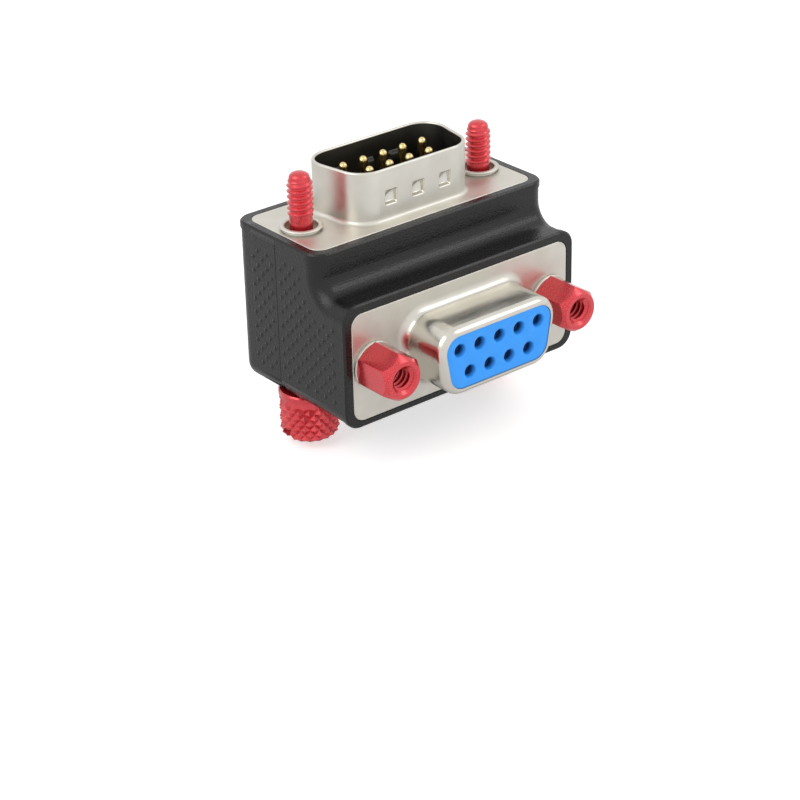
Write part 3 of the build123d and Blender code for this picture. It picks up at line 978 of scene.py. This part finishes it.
def jack_nut(side, x):
    """A hexagonal jack nut, a corner upwards: turned down at its end, with an internal thread."""
    overlap = 0.05
    bore_spare = 0.5
    lead_in_spare = 0.3
    cone_clearance = 0.02
    low, high = box_mm(f"{side}_jack_nut")
    end = -low.y - socket_reach
    base = washer_thickness
    corner = (high.x - low.x) / 2
    prism = bmesh.new()
    bmesh.ops.create_cone(
        prism, cap_ends=True, segments=6, radius1=corner, radius2=corner, depth=end - base,
        matrix=Matrix.Translation((0, 0, (end + base) / 2)),
    )
    long_edges = [e for e in prism.edges if e.verts[0].co.z != e.verts[1].co.z]
    bmesh.ops.bevel(
        prism, geom=long_edges, offset=jack_corner_edge, offset_type="OFFSET", segments=2,
        profile=0.5, affect="EDGES", material=-1,
    )
    cone = turned(
        [
            (0, end),
            (jack_face_radius - jack_face_edge_width, end),
            (jack_face_radius, end - jack_face_edge_length),
            (corner + cone_clearance, end - jack_chamfer_length),
            (corner + cone_clearance, base + jack_base_edge),
            (corner - jack_base_edge, base),
            (0, base),
        ],
        screw_steps,
    )
    bore = threaded_rod(
        thread_radius + jack_thread_clearance, end - jack_bore_depth, end + bore_spare,
        jack_thread_depth,
    )
    lead_in = turned(
        [
            (0, end + lead_in_spare),
            (thread_radius + lead_in_width + lead_in_spare, end + lead_in_spare),
            (thread_radius + lead_in_width, end),
            (lead_in_core, end - lead_in_depth),
            (0, end - lead_in_depth),
        ],
        screw_steps,
    )
    stud = turned(
        [
            (0, base + overlap),
            (jack_stud_radius, base + overlap),
            (jack_stud_radius, -jack_stud_length),
            (0, -jack_stud_length),
        ],
        thread_steps,
    )
    nut = combined(prism, cone, "INTERSECT")
    nut = combined(combined(nut, bore, "DIFFERENCE"), lead_in, "DIFFERENCE")
    nut = combined(nut, stud, "UNION")
    bmesh.ops.transform(nut, matrix=socket_place @ Matrix.Translation((x, 0, 0)), verts=nut.verts)
    finished(nut, f"{side}_threaded_jack_nut", red_metal, f"{side}_jack_nut")


for side, x in sides:
    thumbscrew(side, x)
    jack_nut(side, x)


# Sizes of the moulded housing. The step is the top of the section that holds the socket.
edge_radius = 1.8
rim_width = 1.05
rim_band = 0.8
rim_proud = 0.12
cove_radius = 2.05
side_x = housing_high.x - rim_proud
rear_y = housing_high.y - rim_proud
bottom_z = housing_low.z + rim_proud
step_z = -(socket_drop - flange_height / 2 - rim_width) - rim_proud

# Grip on both sides of the housing: low pyramids in staggered rows, inside a smooth margin
grip_pitch = 1.6
grip_row = 0.83
grip_height = 0.12
grip_base_radius = 0.46
grip_tip_radius = 0.07
grip_embedded = 0.01
grip_margin = 1.05
grip_bottom_margin = 0.735
grip_top = -1.0
grip_row_count = 24
grip_columns = range(-9, 7)


def on_grip(y, z):
    """True where a pyramid's middle lies on the gripped part of a side."""
    margin = edge_radius + grip_margin
    in_length = -socket_reach + rim_band + grip_margin < y < rear_y - margin
    in_height = bottom_z + edge_radius + grip_bottom_margin < z < -rim_band - grip_margin
    behind_wall = y > -rear_y + margin
    below_step = z < step_z - margin
    cove_y = -rear_y - cove_radius
    cove_z = step_z + cove_radius
    inside_cove = y > cove_y and z < cove_z and hypot(y - cove_y, z - cove_z) > cove_radius + margin
    return in_length and in_height and (behind_wall or below_step or inside_cove)


def sharpen_lower_edges(bm):
    """Draws the rounded edges between sides and bottom out to a radius of about 0.6 mm, and lets
    that fade towards the front rim and the rear corners."""
    fade_length = 1.5
    fade_steps = 6
    power = 6
    rim_edge = 0.1
    facet_tolerance = 0.01
    front = -socket_reach + rim_band + rim_edge
    rear = rear_y - edge_radius
    for i in range(fade_steps + 1):
        for y in (front + fade_length * i / fade_steps, rear - fade_length * i / fade_steps):
            bmesh.ops.bisect_plane(
                bm, geom=bm.verts[:] + bm.edges[:] + bm.faces[:], dist=cut_distance,
                plane_co=(0, y, 0), plane_no=(0, 1, 0),
            )
    middle_x = side_x - edge_radius
    middle_z = bottom_z + edge_radius
    for vert in bm.verts:
        across = abs(vert.co.x) - middle_x
        down = middle_z - vert.co.z
        reach = hypot(across, down)
        in_quarter = across > plane_distance and down > plane_distance
        if in_quarter and reach < edge_radius + facet_tolerance:
            sharp = ((across / reach) ** power + (down / reach) ** power) ** (-1 / power)
            inside = min(vert.co.y - front, rear - vert.co.y)
            fade = soft_step(inside, fade_length)
            scale = 1 + (sharp - 1) * fade
            vert.co.x = (middle_x + across * scale) * (1 if vert.co.x > 0 else -1)
            vert.co.z = middle_z - down * scale


def housing_half(node, name, front, rear):
    """One half of the housing, with its share of the grip on both sides."""
    flat_angle = radians(0.5)
    large_area = 3
    border = 0.03
    bm = bmesh.new()
    bm.from_mesh(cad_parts[node].data)
    bmesh.ops.scale(bm, vec=(1 / MM,) * 3, verts=bm.verts)
    bmesh.ops.remove_doubles(bm, verts=bm.verts, dist=plane_distance)
    bmesh.ops.dissolve_limit(bm, angle_limit=flat_angle, verts=bm.verts, edges=bm.edges)
    sharpen_lower_edges(bm)
    # A narrow border round each large flat keeps its shading flat up to its soft edges
    flats = [face for face in bm.faces if face.calc_area() > large_area]
    bmesh.ops.inset_individual(bm, faces=flats, thickness=border, use_even_offset=True)
    for direction in (-1, 1):
        turn = Matrix.Rotation(direction * pi / 2, 4, "Y")
        middle_x = direction * (side_x + grip_height / 2 - grip_embedded)
        for row in range(grip_row_count):
            z = grip_top - row * grip_row
            for column in grip_columns:
                y = (column + (row % 2) / 2) * grip_pitch
                if front < y < rear and on_grip(y, z):
                    bmesh.ops.create_cone(
                        bm, cap_ends=True, segments=4, radius1=grip_base_radius,
                        radius2=grip_tip_radius, depth=grip_height + 2 * grip_embedded,
                        matrix=Matrix.Translation((middle_x, y, z)) @ turn,
                    )
    finished(bm, name, black_plastic, node)


housing_half("front_housing", "front_half_with_grip", front_low.y, 0)
housing_half("rear_housing", "rear_half_with_grip", 0, housing_high.y)

# Imported nodes that keep their own shape get a finish in each of their material slots
finishes = {
    "plug_insulator": black_insulator,
    "circuit_board": board_lacquer,
    "plug_rear_plate": nickel,
    "socket_rear_plate": nickel,
    "left_clinch_nut": nickel,
    "right_clinch_nut": nickel,
}
finishes.update({f"socket_contact_{number}": gold for number in range(1, 10)})
for node, material in finishes.items():
    for material_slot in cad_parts[node].material_slots:
        material_slot.material = material

# Camera at the photograph's own angle
view_azimuth = 38.76
view_depression = 27.362
view_roll = 1.398
view_distance = 254.898
view_target = Vector((-6.129, -8.14, -19.681))
camera_data = bpy.data.cameras.new("camera")
camera_data.sensor_fit = "HORIZONTAL"
camera_data.sensor_width = 36
camera_data.lens = 104.741
camera_data.clip_start = 0.01
camera_data.clip_end = 10
camera = bpy.data.objects.new("camera", camera_data)
bpy.context.scene.collection.objects.link(camera)
camera.matrix_world = (
    Matrix.Translation(view_target * MM)
    @ Matrix.Rotation(-radians(view_azimuth), 4, "Z")
    @ Matrix.Rotation(radians(90 - view_depression), 4, "X")
    @ Matrix.Rotation(-radians(view_roll), 4, "Z")
    @ Matrix.Translation((0, 0, view_distance * MM))
)
bpy.context.scene.camera = camera


def softbox(name, place, size, power, mirrored=False):
    """A square area lamp that faces the middle of the part. Place and size in millimetres, power in
    watts. Only a mirrored one shows in reflections."""
    middle = Vector((0, -4, -9))
    lamp = bpy.data.lights.new(name, "AREA")
    lamp.shape = "SQUARE"
    lamp.size = size * MM
    lamp.energy = power
    light = bpy.data.objects.new(name, lamp)
    light.location = Vector(place) * MM
    light.visible_glossy = mirrored
    light.rotation_euler = (middle - Vector(place)).to_track_quat("-Z", "Y").to_euler()
    bpy.context.scene.collection.objects.link(light)


softbox("key_softbox", (-390, 30, 330), 420, 1.0, mirrored=True)
softbox("front_fill", (60, -420, 160), 380, 1.0)
softbox("cove_light", (300, -250, 372), 230, 0.32, mirrored=True)
softbox("rear_fill", (260, 340, 200), 380, 0.7)

# The surroundings: white for what the camera and the reflections see, dimmer as a light
world = bpy.data.worlds.new("studio")
bpy.context.scene.world = world
world.use_nodes = True
studio = world.node_tree
rays = add_node(studio, "ShaderNodeLightPath").outputs
straight = add_node(studio, "ShaderNodeMath", {
    0: rays["Is Camera Ray"],
    1: rays["Is Transmission Ray"],
}, operation="MAXIMUM")
seen = add_node(studio, "ShaderNodeMath", {
    0: straight.outputs["Value"],
    1: rays["Is Glossy Ray"],
}, operation="MAXIMUM")
strength = add_node(studio, "ShaderNodeMapRange", {
    "Value": seen.outputs["Value"],
    "To Min": 0.45,
    "To Max": 1.0,
})
set_inputs(studio, studio.nodes["Background"], {
    "Color": (1, 1, 1, 1),
    "Strength": strength.outputs["Result"],
})

# Floor just under the lower thumbscrew, with a glow that only the camera sees
floor_gap = 0.2
floor_reach = 3000
floor_material, floor_tree, floor_surface = new_material("white_floor")
glow = add_node(floor_tree, "ShaderNodeMapRange", {
    "Value": add_node(floor_tree, "ShaderNodeLightPath").outputs["Is Camera Ray"],
    "To Min": 0.0,
    "To Max": 0.5,
})
set_inputs(floor_tree, floor_surface, {
    "Base Color": linear("#f4f4f4"),
    "Roughness": 0.8,
    "Emission Color": (1, 1, 1, 1),
    "Emission Strength": glow.outputs["Result"],
})
floor_mesh = bpy.data.meshes.new("floor")
floor_mesh.materials.append(floor_material)
bm = bmesh.new()
bmesh.ops.create_grid(
    bm, x_segments=1, y_segments=1, size=floor_reach * MM,
    matrix=Matrix.Translation((0, 0, cad_box[0].z - floor_gap * MM)),
)
bm.to_mesh(floor_mesh)
bm.free()
floor = bpy.data.objects.new("floor", floor_mesh)
bpy.context.scene.collection.objects.link(floor)

bpy.context.scene.view_settings.view_transform = "Standard"
